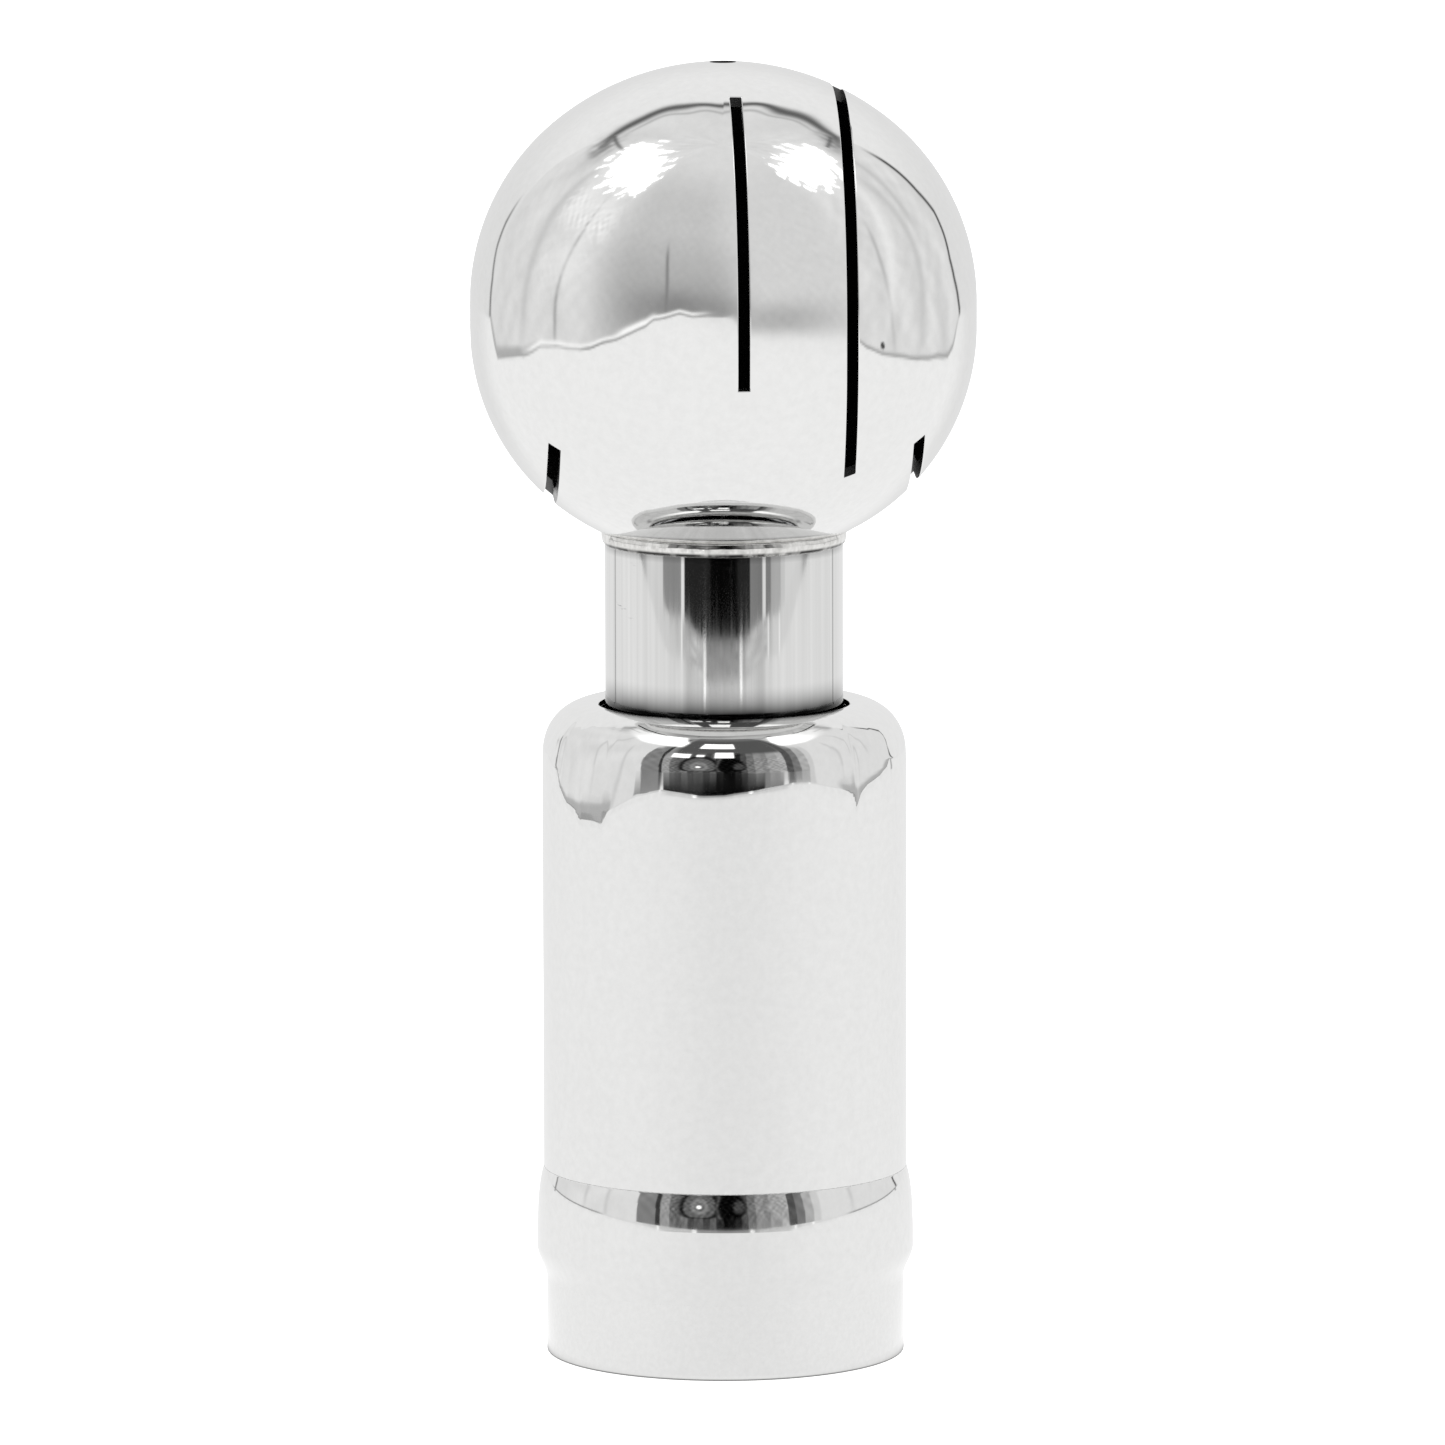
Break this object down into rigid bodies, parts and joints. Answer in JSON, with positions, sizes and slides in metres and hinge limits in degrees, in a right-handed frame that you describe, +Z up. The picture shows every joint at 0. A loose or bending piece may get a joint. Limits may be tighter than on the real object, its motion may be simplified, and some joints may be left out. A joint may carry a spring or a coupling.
{
  "type": "rotary tank cleaning spray ball",
  "caption": "Slotted spray ball on a hollow neck that spins on ball bearings in a fixed cylindrical housing with a female pipe-thread inlet, for washing the inside of tanks.",
  "frame": {"origin": "centre of the connector's bottom rim, on the spin axis", "axes": "+Z up the spin axis from the inlet to the ball, -Y the front where two long slots show, +X to the right seen from the front"},
  "size_m": [0.065, 0.065, 0.1671],
  "materials": {
    "polished_steel": "mirror-polished stainless steel sheet",
    "polished_tube": "polished stainless tube with drawn streaks along it",
    "turned_polished_steel": "turned stainless bar, mirror polished outside, machined thread inside",
    "weld_steel": "dressed and polished stainless weld bead",
    "turned_steel": "fine turned stainless steel",
    "bearing_steel": "ground and lapped stainless bearing steel",
    "spring_steel": "plain stainless spring strip"
  },
  "bodies": {
    "housing": {"housing_shell": "polished_steel", "upper_cup": "bearing_steel", "lower_cup": "bearing_steel", "cup_spacer": "turned_steel", "support_ring": "turned_steel", "preload_shim": "spring_steel", "threaded_connector": "turned_polished_steel", "housing_weld": "weld_steel"},
    "rotor": {"ball_upper_shell": "polished_steel", "ball_lower_shell": "polished_steel", "ball_equator_weld": "polished_steel", "neck_weld": "weld_steel", "rotor_tube": "polished_tube", "upper_cone": "bearing_steel", "lower_cone": "bearing_steel", "cone_spacer": "turned_steel", "thrust_washer": "turned_steel", "rotor_circlip": "spring_steel"},
    "upper_ball_train": {"upper_bearing_balls": "bearing_steel"},
    "lower_ball_train": {"lower_bearing_balls": "bearing_steel"}
  },
  "joints": [
    {"name": "rotor_spin", "type": "hinge", "parent": "housing", "child": "rotor", "pos_m": [0, 0, 0.0605], "axis": [0, 0, 1], "continuous": true},
    {"name": "upper_ball_orbit", "type": "hinge", "parent": "housing", "child": "upper_ball_train", "pos_m": [0, 0, 0.077], "axis": [0, 0, 1], "continuous": true},
    {"name": "lower_ball_orbit", "type": "hinge", "parent": "housing", "child": "lower_ball_train", "pos_m": [0, 0, 0.044], "axis": [0, 0, 1], "continuous": true}
  ],
  "couplings": [
    {"joint": "upper_ball_orbit", "follows": "rotor_spin", "ratio": 0.46219},
    {"joint": "lower_ball_orbit", "follows": "rotor_spin", "ratio": 0.46219}
  ]
}
